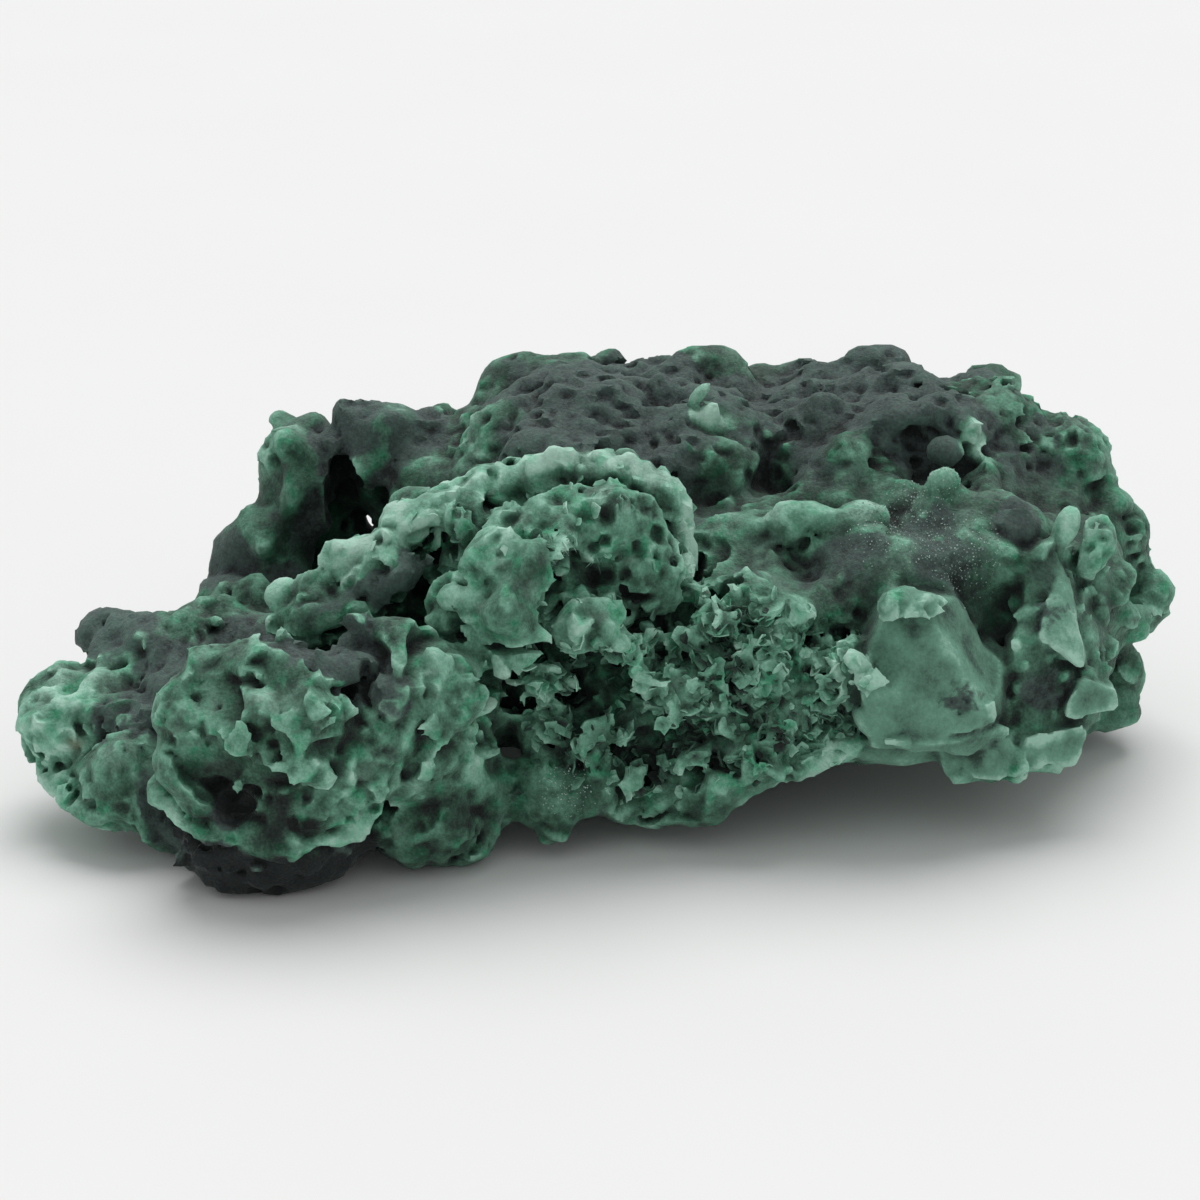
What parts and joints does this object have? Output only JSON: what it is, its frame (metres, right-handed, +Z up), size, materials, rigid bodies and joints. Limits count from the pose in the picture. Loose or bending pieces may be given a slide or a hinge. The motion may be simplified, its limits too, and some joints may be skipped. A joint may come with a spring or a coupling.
{
  "type": "malachite specimen",
  "caption": "Rough hand specimen of fibrous malachite: one long, lumpy green rock with pitted crusts, a spongy open front, flat broken faces and a pocket that opens through one end.",
  "frame": {"origin": "on the standing surface, under the middle of the bounding box", "axes": "+X along the specimen, from its thin end to its deep end; +Y from the porous front to the back; +Z up"},
  "size_m": [0.12, 0.0714, 0.0403],
  "materials": {
    "malachite": "velvety to dull, rough, with fine crystal glints"
  },
  "bodies": {
    "root": {"malachite": "malachite"}
  },
  "joints": []
}
